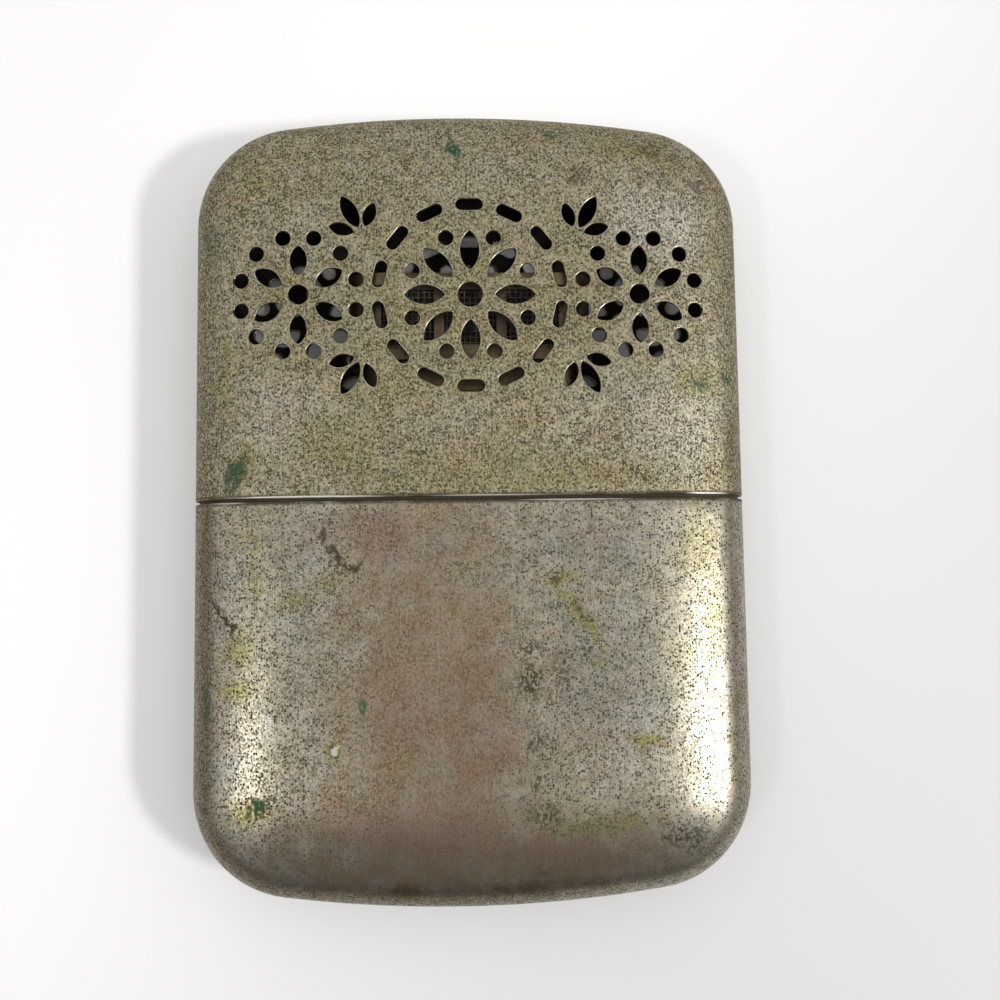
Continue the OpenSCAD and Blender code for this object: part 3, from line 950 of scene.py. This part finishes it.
# The dark band along the tank's bottom edge is partly tarnish and partly a painted reflection of the darker
# room in front
TANK_FOOT = ((0.90, 0.0, -48.4, 34.0, 4.6, 0),)
TANK_ROSY = (
    (0.55, -9.0, -24.0, 6.0, 9.0, 20), (0.50, 0.5, -27.0, 5.0, 13.0, 0), (0.55, -11.5, -3.6, 6.0, 4.6, 0),
    (0.50, -8.0, -38.5, 12.0, 4.5, 0), (0.45, 11.0, -41.5, 9.0, 3.0, 0),
)
TANK_BLUISH = (
    (0.45, 15.5, -20.5, 10.0, 13.0, 0), (0.40, 14.0, -6.0, 11.0, 5.5, 0), (0.65, 25.9, -40.4, 5.0, 3.4, -20),
    (0.30, -20.5, -22.0, 5.5, 13.0, 0), (0.25, -20.0, -5.0, 6.0, 6.0, 0),
)
TANK_CROWDS = (
    (0.95, 7.5, -16.8, 1.7, 3.4, 0), (0.90, 7.7, -21.5, 2.0, 1.9, 0), (0.85, 8.0, -29.0, 1.8, 3.0, 0),
    (0.75, 8.6, -36.5, 3.4, 2.6, 0), (0.70, 12.5, -18.0, 2.0, 2.0, 0), (0.60, 14.5, -37.0, 5.0, 2.6, 0),
    (0.55, 26.0, -40.5, 5.0, 3.4, -20), (0.75, -25.0, -35.3, 3.2, 2.0, 10), (0.50, -29.5, -8.0, 3.4, 9.0, 0),
    (0.45, 12.0, -28.0, 7.0, 12.0, 0), (0.40, 27.0, -25.0, 6.5, 17.0, 0), (0.35, 4.0, -41.0, 20.0, 3.4, 0),
)


def cap_nickel(case, looks):
    """Matt, closely mottled plate of the cap."""
    plate = SimpleNamespace(
        colour=looks.cap_nickel, roughness=0.56, mottle=0.84, brush=0.03, dirt=0.30, clean_side=0.6,
        calm=CAP_CALM, crowds=CAP_CROWDS, olive=CAP_OLIVE, lips=CAP_LIP_HIGHLIGHTS,
        tints=((looks.khaki, CAP_KHAKI), (looks.rubbed, CAP_LIGHT)),
        marks=((0.12, looks.rust_brown, CAP_BROWN), (0.16, looks.verdigris, CAP_GREEN)),
    )
    return worn_nickel("cap_nickel", case, looks, plate)


def tank_nickel(case, looks):
    """Smoother, glossier plate of the tank, tarnished brown down the middle."""
    # The foot tint is partly tarnish and partly a painted reflection along the bottom edge
    foot = shaded(looks.tarnish, 0.50, 0.46, 0.42)
    plate = SimpleNamespace(
        colour=looks.tank_nickel, roughness=0.30, mottle=0.58, brush=0.08, dirt=0.90, clean_side=0.28,
        # One calm spot is a painted highlight on the right flank
        calm=TANK_CALM_AND_HIGHLIGHT, crowds=TANK_CROWDS, olive=TANK_OLIVE, lips=TANK_LIPS,
        tints=(
            (looks.tarnish, TANK_TARNISH), (looks.rosy, TANK_ROSY), (looks.bluish, TANK_BLUISH),
            (foot, TANK_FOOT),
        ),
        marks=(
            (0.05, looks.pit, TANK_BLOTS), (0.20, looks.rust_brown, TANK_BROWN),
            (0.16, looks.verdigris, TANK_GREEN), (0.30, looks.bare_metal_and_lip_highlight, TANK_BARE),
        ),
    )
    return worn_nickel("tank_nickel", case, looks, plate)


def lip_metal(name, looks, bright_places):
    """Rounded edge of the sheet: rubbed bright round the vents, dirty along the seam, with painted highlights
    at bright_places.
    """
    finish = Finish(name)
    cloud = finish.noise(1.8 * MM, rough=0.6)
    fine = finish.noise(0.25 * MM, detail=2.0)
    dim = shaded(looks.cap_nickel, 0.80, 0.75, 0.62)
    tone = finish.mix(finish.vary(cloud, 0.36, 0.64), looks.rubbed, dim)
    tone = finish.mix(finish.vary(fine, 0.52, 0.70, 0.0, 0.8), tone, looks.pit)
    grimy = seam_grime(finish)
    tone = finish.mix(grimy, tone, looks.grime)
    tone = finish.mix(finish.patches(finish.place, bright_places), tone, looks.bare_metal_and_lip_highlight)
    finish.set(
        Base_Color=tone,
        Metallic=finish.vary(grimy, 0.0, 1.0, 1.0, 0.35),
        Roughness=finish.vary(cloud, 0.3, 0.7, 0.26, 0.44),
        Normal=finish.bump(fine, 0.006 * MM),
    )
    return finish.material


def inner_metal(name, tone, roughness):
    """Dark inner side of the sheet; in the cap its near-black tone is painted shade."""
    finish = Finish(name)
    cloud = finish.noise(4 * MM, detail=5.0, rough=0.65)
    grain = finish.noise(0.4 * MM)
    finish.set(
        Base_Color=finish.mix(finish.vary(cloud, 0.35, 0.7), tone, shaded(tone, 2.4)),
        Metallic=0.55,
        Roughness=finish.vary(cloud, 0.3, 0.7, roughness, roughness + 0.2),
        Normal=finish.bump(grain, 0.02 * MM),
    )
    return finish.material


def old_metal(name, base, tarnish, roughness, pit_share=0.25, heat=None, seam=None):
    """Small brass or plated piece: tarnish in broad clouds, a few pits and handling marks."""
    finish = Finish(name)
    cloud = finish.noise(5 * MM, detail=5.0, rough=0.62)
    fine = finish.noise(0.5 * MM)
    tone = finish.mix(finish.vary(cloud, 0.36, 0.66), base, tarnish)
    tone = finish.mix(finish.vary(fine, 0.35, 0.65, 0.30, 0.0), tone, shaded(base, 0.45))
    if heat:
        y_low, y_high, colour_of_heat = heat
        climb = finish.plus(finish.split()[1], finish.vary(cloud, 0.3, 0.7, -1.4 * MM, 1.4 * MM))
        tone = finish.mix(finish.vary(climb, y_low, y_high, 0.0, 0.75), tone, colour_of_heat)
    pits = pitted(finish, 0.6 * MM, 0.40, pit_share)
    tone = finish.mix(finish.times(pits, 0.8), tone, shaded(base, 0.12))
    tone = finish.mix(finish.times(hairlines(finish), 2.0), tone, shaded(base, 1.4))
    if seam:
        near = finish.vary(finish.math("ABSOLUTE", finish.split()[1]), 0.75 * MM, 0.45 * MM)
        tone = finish.mix(near, tone, seam)
        pits = finish.larger(pits, near)
    finish.set(
        Base_Color=tone,
        Metallic=finish.vary(pits, 0.0, 1.0, 0.95, 0.35),
        Roughness=finish.plus(
            finish.vary(cloud, 0.3, 0.7, roughness, roughness + 0.18), finish.times(pits, 0.3)
        ),
        Normal=finish.bump(finish.minus(finish.times(fine, 0.4), pits), 0.02 * MM),
    )
    return finish.material


def fibrous(name, base, shadow, fibre, sheen, relief):
    """Matted fibre: crossed hairs over soft lumps, whose hollows are shadow times as bright."""
    finish = Finish(name)

    def strands(angle):
        vector = finish.stretched((8 * fibre, fibre, 1.5 * fibre), math.radians(angle))
        return finish.vary(finish.noise(1.0, detail=2.0, twist=0.6, vector=vector), 0.52, 0.70)

    hairs = finish.strongest(strands(angle) for angle in (12, 58, 101, 149))
    lumps = finish.noise(14 * fibre, detail=4.0, rough=0.6)
    tone = finish.mix(finish.vary(lumps, 0.32, 0.68), shaded(base, shadow), base)
    finish.set(
        Base_Color=finish.mix(finish.times(hairs, 0.5), tone, shaded(base, 1.18)),
        Roughness=0.92,
        Sheen_Weight=sheen,
        Normal=finish.bump(finish.plus(hairs, lumps), relief),
    )
    return finish.material


SOOTY_WIRE = (0.05, 0.043, 0.034)
CLEAN_WIRE = (0.21, 0.175, 0.12)


def wire_metal():
    """Sooty wire of the gauze."""
    finish = Finish("gauze_wire")
    cloud = finish.noise(1.6 * MM, detail=4.0)
    finish.set(
        Base_Color=finish.mix(finish.vary(cloud, 0.35, 0.68), SOOTY_WIRE, CLEAN_WIRE),
        Metallic=0.85,
        Roughness=finish.vary(cloud, 0.3, 0.7, 0.42, 0.62),
        Normal=finish.bump(finish.noise(0.12 * MM, detail=2.0), 0.008 * MM),
    )
    return finish.material


# ---- Soft fillings ----


# How far the clouds of one soft piece lie from the next one's, in mm, and how fine they are
SEED_STEP = (7.3, 3.1, 5.7)
CLOUD_DETAIL = 3


def lumpy(piece, relief, size, seed):
    """Pushes the surface about by smooth noise, always the same way."""
    clouds = bpy.data.textures.new(piece.name + "_clouds", "CLOUDS")
    clouds.noise_scale = size
    clouds.noise_depth = CLOUD_DETAIL
    handle = bpy.data.objects.new(piece.name + "_place", None)
    bpy.context.scene.collection.objects.link(handle)
    handle.location = mm(*(step * seed for step in SEED_STEP))
    bpy.context.view_layer.update()
    modify(
        piece, "DISPLACE", texture=clouds, strength=relief, mid_level=0.5, texture_coords="OBJECT",
        texture_coords_object=handle,
    )
    bpy.data.objects.remove(handle)
    bpy.data.textures.remove(clouds)


def copy_of(node, name):
    """A merged copy of a CAD node's mesh to work on, at the same place."""
    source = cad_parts[node]
    piece = bpy.data.objects.new(name, source.data.copy())
    bpy.context.scene.collection.objects.link(piece)
    only(piece)
    bpy.ops.object.mode_set(mode="EDIT")
    merge_points()
    bpy.ops.object.mode_set(mode="OBJECT")
    return piece


def soft_copy(node, name, voxel, draw_in, relief, lump, seed):
    """A soft block with rounded edges and a lumpy skin that stays inside the CAD solid."""
    piece = copy_of(node, name)
    modify(piece, "REMESH", mode="VOXEL", voxel_size=voxel)
    modify(piece, "SMOOTH", factor=0.5, iterations=10)
    modify(piece, "DISPLACE", strength=-draw_in, mid_level=0.0)
    lumpy(piece, relief, lump, seed)
    modify(piece, "SMOOTH", factor=0.3, iterations=1)
    piece.data.shade_smooth()
    return piece


# ---- Woven gauze ----


# Sides of a wire, and its steps from one crossing to the next
WIRE_SIDES = 6
WAVE_STEPS = 2


def wires(name, waves, count, pitch, radius, rise):
    """Parallel wires along X that go over and under crossing wires, each out of step with the next."""
    rows = []
    for phase in (0, 1):
        lift = rise * (1 - 2 * phase) * radius
        wire = begin_empty(f"{name}_{phase}")
        first = (-waves * pitch / 2, (phase - (count - 1) / 2) * pitch, lift)
        bpy.ops.mesh.primitive_circle_add(
            vertices=WIRE_SIDES, radius=radius, fill_type="NGON", location=first, rotation=(0, math.pi / 2, 0)
        )
        for step in range(waves * WAVE_STEPS):
            now, after = (math.cos(math.pi * k / WAVE_STEPS) * lift for k in (step, step + 1))
            draw_out((pitch / WAVE_STEPS, 0, after - now))
        finish_edit()
        modify(
            wire, "ARRAY", count=(count + 1 - phase) // 2, use_relative_offset=False,
            use_constant_offset=True, constant_offset_displace=(0, 2 * pitch, 0),
        )
        rows.append(wire)
    return unite(rows, name)


def unite(pieces, name):
    """Joins pieces into one."""
    only(pieces[0])
    for piece in pieces:
        piece.select_set(True)
    bpy.ops.object.join()
    pieces[0].name = name
    pieces[0].data.name = name
    return pieces[0]


def weave(node, name, sizes):
    """Woven wire cloth in the place of a plain pierced CAD sheet."""
    low, high = cad_box(node)
    pitch = sizes.wire_pitch
    radius = (high.z - low.z) / 4
    waves_x = int((high.x - low.x - 2 * radius) / pitch)
    waves_y = int((high.y - low.y - 2 * radius) / pitch)
    weft = wires(name, waves_x, waves_y + 1, pitch, radius, 1)
    warp = wires(name + "_warp", waves_y, waves_x + 1, pitch, radius, -1)
    swing(warp, -math.pi / 2)
    cloth = unite([weft, warp], name)
    only(cloth)
    bpy.ops.transform.translate(value=(low + high) / 2)
    fix_place()
    cloth.data.shade_smooth()
    return cloth


# ---- Operators ----


def require(piece, what):
    """Stops the operator when a step has left nothing to show."""
    if not piece.data.polygons:
        raise RuntimeError(f"{what} has no faces")
    return piece


LIP_MATERIAL = 2


class WARMER_OT_cap(bpy.types.Operator):
    """Model the drawn cap with its punched vents"""

    bl_idname = "warmer.cap"
    bl_label = "Vented Cap"

    def execute(self, context):
        scene = context.scene
        case, vents, looks = scene.warmer_case, scene.warmer_vents, scene.warmer_finish
        outside = cap_nickel(case, looks)
        # The cap's near-black inner side is painted shade
        piece = draw_half("cap", case, outside, inner_metal("cap_inside", looks.cap_inside_shade, 0.7))
        # The lip's material gets painted highlights where the cap's seam lip catches the light
        piece.data.materials.append(lip_metal("cap_lip", looks, CAP_LIP_HIGHLIGHTS))
        give_wall(piece, case)
        tool = punch_tool(vents, case.thickness, piece.data.materials)
        modify(piece, "BOOLEAN", operation="DIFFERENCE", solver="EXACT", object=tool)
        bpy.data.objects.remove(tool)
        round_lips(piece, case, material=LIP_MATERIAL)
        smooth(piece)
        require(piece, "the cap")
        dress(piece, "cap")
        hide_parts("cap_shell")
        return {"FINISHED"}


class WARMER_OT_tank(bpy.types.Operator):
    """Model the drawn fuel tank"""

    bl_idname = "warmer.tank"
    bl_label = "Fuel Tank"

    def execute(self, context):
        case, looks = context.scene.warmer_case, context.scene.warmer_finish
        outside = tank_nickel(case, looks)
        piece = draw_half("tank", case, outside, inner_metal("tank_inside", looks.brass, 0.5))
        give_wall(piece, case)
        swing(piece, math.pi)
        round_lips(piece, case)
        smooth(piece)
        require(piece, "the tank")
        dress(piece, "tank")
        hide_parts("tank_shell")
        return {"FINISHED"}


class WARMER_OT_gauze(bpy.types.Operator):
    """Weave the front and rear wire gauze of the burner"""

    bl_idname = "warmer.gauze"
    bl_label = "Wire Gauze"

    def execute(self, context):
        soft = context.scene.warmer_soft
        wire = wire_metal()
        for node, name in (("burner_gauze_front", "gauze_front"), ("burner_gauze_rear", "gauze_rear")):
            piece = require(weave(node, name, soft), name)
            dress(piece, "burner", wire)
            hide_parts(node)
        return {"FINISHED"}


class WARMER_OT_mat(bpy.types.Operator):
    """Model the black fibre mat of the burner"""

    bl_idname = "warmer.mat"
    bl_label = "Catalyst Mat"

    def execute(self, context):
        soft, looks = context.scene.warmer_soft, context.scene.warmer_finish
        piece = soft_copy("catalyst_mat", "fibre_mat", 0.3 * MM, 0.15 * MM, soft.fuzz, 0.9 * MM, seed=1)
        fibre = fibrous("catalyst_fibre", looks.catalyst, 0.4, 0.09 * MM, 0.25, 0.06 * MM)
        dress(require(piece, "the mat"), "burner", fibre)
        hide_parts("catalyst_mat")
        return {"FINISHED"}


class WARMER_OT_fillings(bpy.types.Operator):
    """Model the felt wick and the cotton in the tank"""

    bl_idname = "warmer.fillings"
    bl_label = "Felt and Cotton"

    def execute(self, context):
        soft, looks = context.scene.warmer_soft, context.scene.warmer_finish
        felt = fibrous("wool_felt", looks.felt, 0.72, 0.12 * MM, 0.2, 0.08 * MM)
        piece = soft_copy("wick_felt", "felt_wick", 0.4 * MM, 0.15 * MM, soft.fuzz, 1.2 * MM, seed=2)
        dress(require(piece, "the felt"), "tank", felt)
        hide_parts("wick_felt")
        cotton = fibrous("packed_cotton", looks.cotton, 0.80, 0.2 * MM, 0.3, 0.12 * MM)
        for seed, side in enumerate(("left", "middle", "right"), 3):
            node = "cotton_wad_" + side
            wad = soft_copy(node, "cotton_" + side, 0.7 * MM, 0.3 * MM, 2.4 * soft.fuzz, 3 * MM, seed)
            dress(require(wad, "the cotton"), "tank", cotton)
            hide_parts(node)
        return {"FINISHED"}


# Colours that tarnish and heat give the small metals
COLLAR_TARNISH = (0.42, 0.35, 0.22)
COLLAR_BROWNED = (0.26, 0.19, 0.10)
SOLDER_TARNISH = (0.24, 0.24, 0.23)
BURNER_HEATED = (0.10, 0.075, 0.06)
RIVET = (0.34, 0.29, 0.20)
RIVET_TARNISH = (0.16, 0.12, 0.07)


class WARMER_OT_metals(bpy.types.Operator):
    """Finish the collar, neck and burner, which keep their construction"""

    bl_idname = "warmer.metals"
    bl_label = "Collar, Neck and Burner"

    def execute(self, context):
        looks = context.scene.warmer_finish
        brass, burner = looks.brass, looks.burner
        worn_burner = shaded(burner, 0.5)
        burner_low, burner_high = cad_box("burner_cage")
        heat = (burner_low.y, burner_high.y, BURNER_HEATED)
        browned = (-2 * MM, 16 * MM, COLLAR_BROWNED)
        plate = looks.tank_nickel
        collar = old_metal("collar_metal", plate, COLLAR_TARNISH, 0.28, 0.35, browned, looks.grime)
        neck = old_metal("neck_brass", brass, shaded(brass, 0.55), 0.36)
        solder = old_metal("soft_solder", looks.solder, SOLDER_TARNISH, 0.5)
        sheet = old_metal("burner_sheet", burner, worn_burner, 0.36, 0.3, heat)
        crown = old_metal("crown_sheet", shaded(burner, 1.2), worn_burner, 0.34, 0.3)
        rivet = old_metal("rivet_metal", RIVET, RIVET_TARNISH, 0.35)
        kept = {
            "tank_collar": collar, "collar_solder": solder,
            "neck_solder": solder, "neck_tube": neck, "neck_retainer": neck,
            "burner_skirt": sheet, "burner_plate": sheet, "burner_cage": sheet, "burner_crown": crown,
            "burner_rivets": rivet, "mat_carrier": sheet,
        }
        for node, material in kept.items():
            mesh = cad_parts[node].data
            mesh.materials.clear()
            mesh.materials.append(material)
        return {"FINISHED"}


TABLE_SIZE = 4
# What the camera sees beyond the table, and the colour of the room's light
BACKDROP = 0.93
ROOM_COLOUR = (1.0, 0.995, 0.985)
VIEWER_SIDE = (0.0, -0.87, 0.5)
# Each lamp's direction from the case, and its size
LAMPS = {
    "right_lamp": ((0.966, -0.27, 1.0), (74 * MM, 40 * MM)),
    "right_glow": ((0.44, -0.16, 1.0), (170 * MM, 120 * MM)),
    "left_lamp": ((-0.66, -0.34, 1.0), (90 * MM, 40 * MM)),
    "left_glow": ((-0.36, -0.26, 1.0), (140 * MM, 120 * MM)),
}
LAMP_DISTANCE = 0.5
LAMP_AIM = mm(0, -10, 7)
# The camera's place, and the case's turn in its view about X, Y and Z in degrees
CAMERA_PLACE = mm(-1.628, -8.601, 127.5)
CAMERA_TURN = (-4.205, 2.388, 0.819)


class WARMER_OT_stage(bpy.types.Operator):
    """Set the table, the light and the camera"""

    bl_idname = "warmer.stage"
    bl_label = "Table, Light and Camera"

    def execute(self, context):
        stage = context.scene.warmer_stage
        table_top(stage)
        room(stage)
        for name, (heading, size) in LAMPS.items():
            lamp(name, Vector(heading), size, getattr(stage, name))
        camera(stage)
        context.scene.view_settings.view_transform = "Standard"
        return {"FINISHED"}


def table_top(stage):
    """Pale, finely grained table top that keeps the shadow, with painted shade that darkens it towards the
    lower right.
    """
    bpy.ops.object.select_all(action="DESELECT")
    bpy.ops.mesh.primitive_plane_add(size=TABLE_SIZE)
    table = bpy.context.object
    table.name = "table_top"
    finish = Finish("table_white")
    x, y, _ = finish.split()
    # Painted shade: the table's colour grows darker towards the lower right
    away = finish.minus(finish.times(x, 0.78), finish.times(y, 0.64))
    finish.set(
        Base_Color=finish.mix(finish.vary(away, -48 * MM, 90 * MM), stage.table, stage.table_painted_shade),
        Roughness=0.6,
        Normal=finish.bump(finish.noise(1.6 * MM, detail=1.0), 0.02 * MM),
    )
    table.data.materials.append(finish.material)


def room(stage):
    """Room light that fades from behind the case towards the viewer and towards the table."""
    world = bpy.data.worlds.new("room")
    bpy.context.scene.world = world
    world.use_nodes = True
    nodes = Nodes(world.node_tree, "Generated")
    _, y, z = nodes.split()
    glow = nodes.vary(y, -1.0, 1.0, stage.sky_before, stage.sky_behind, soft=False)
    glow = nodes.times(glow, nodes.vary(z, 0.05, 0.5, stage.horizon, stage.daylight))
    facing = nodes.add("ShaderNodeVectorMath", operation="DOT_PRODUCT")
    nodes.feed(facing.inputs[0], nodes.place)
    facing.inputs[1].default_value = VIEWER_SIDE
    glow = nodes.times(glow, nodes.vary(facing.outputs["Value"], 0.55, 0.97, 1.0, stage.viewer))
    seen = nodes.add("ShaderNodeLightPath").outputs["Is Camera Ray"]
    background = world.node_tree.nodes["Background"]
    background.inputs["Color"].default_value = rgba(ROOM_COLOUR)
    nodes.feed(background.inputs["Strength"], nodes.blend(seen, glow, BACKDROP))


def lamp(name, heading, size, power):
    """Soft lamp in a direction from the case, which it faces."""
    light = bpy.data.lights.new(name, "AREA")
    light.shape = "RECTANGLE"
    light.size, light.size_y = size
    light.energy = power
    shade = bpy.data.objects.new(name, light)
    bpy.context.scene.collection.objects.link(shade)
    shade.location = LAMP_AIM + heading.normalized() * LAMP_DISTANCE
    shade.rotation_euler = heading.to_track_quat("Z", "Y").to_euler()


def camera(stage):
    """Camera above the table, where the photograph was taken from."""
    eye = bpy.data.objects.new("camera", bpy.data.cameras.new("camera"))
    bpy.context.scene.collection.objects.link(eye)
    eye.data.lens = stage.lens
    eye.data.clip_start = 1 * MM
    eye.location = CAMERA_PLACE
    tilt, roll, spin = (math.radians(angle) for angle in CAMERA_TURN)
    turns = (Euler(turn_about).to_matrix() for turn_about in ((tilt, 0, 0), (0, roll, 0), (0, 0, spin)))
    eye.rotation_euler = reduce(lambda first, then: first @ then, turns).transposed().to_euler()
    bpy.context.scene.camera = eye


class WARMER_PT_panel(bpy.types.Panel):
    """Lists the warmer's sizes, finishes and building steps"""

    bl_idname = "WARMER_PT_panel"
    bl_label = "Hand Warmer"
    bl_space_type = "VIEW_3D"
    bl_region_type = "UI"
    bl_category = "Hand Warmer"

    def draw(self, context):
        for group in (getattr(context.scene, name) for name in GROUPS):
            box = self.layout.box()
            for name in group.bl_rna.properties.keys():
                if name not in ("rna_type", "name"):
                    box.prop(group, name)
        for operator in OPERATORS:
            self.layout.operator(operator.bl_idname)


GROUPS = {
    "warmer_case": CaseSizes,
    "warmer_vents": VentSizes,
    "warmer_soft": SoftSizes,
    "warmer_finish": Finishes,
    "warmer_stage": StageLook,
}
OPERATORS = (
    WARMER_OT_cap, WARMER_OT_tank, WARMER_OT_gauze, WARMER_OT_mat, WARMER_OT_fillings,
    WARMER_OT_metals, WARMER_OT_stage,
)


def register():
    """Registers the settings, the operators and the panel."""
    for name, group in GROUPS.items():
        bpy.utils.register_class(group)
        setattr(bpy.types.Scene, name, bpy.props.PointerProperty(type=group))
    for kind in (*OPERATORS, WARMER_PT_panel):
        bpy.utils.register_class(kind)


def unregister():
    """Removes what register has added."""
    for kind in (WARMER_PT_panel, *reversed(OPERATORS)):
        bpy.utils.unregister_class(kind)
    for name, group in reversed(GROUPS.items()):
        delattr(bpy.types.Scene, name)
        bpy.utils.unregister_class(group)


def main():
    """Builds everything in order."""
    register()
    bpy.ops.warmer.cap()
    bpy.ops.warmer.tank()
    bpy.ops.warmer.gauze()
    bpy.ops.warmer.mat()
    bpy.ops.warmer.fillings()
    bpy.ops.warmer.metals()
    bpy.ops.warmer.stage()


if __name__ == "__main__":
    main()
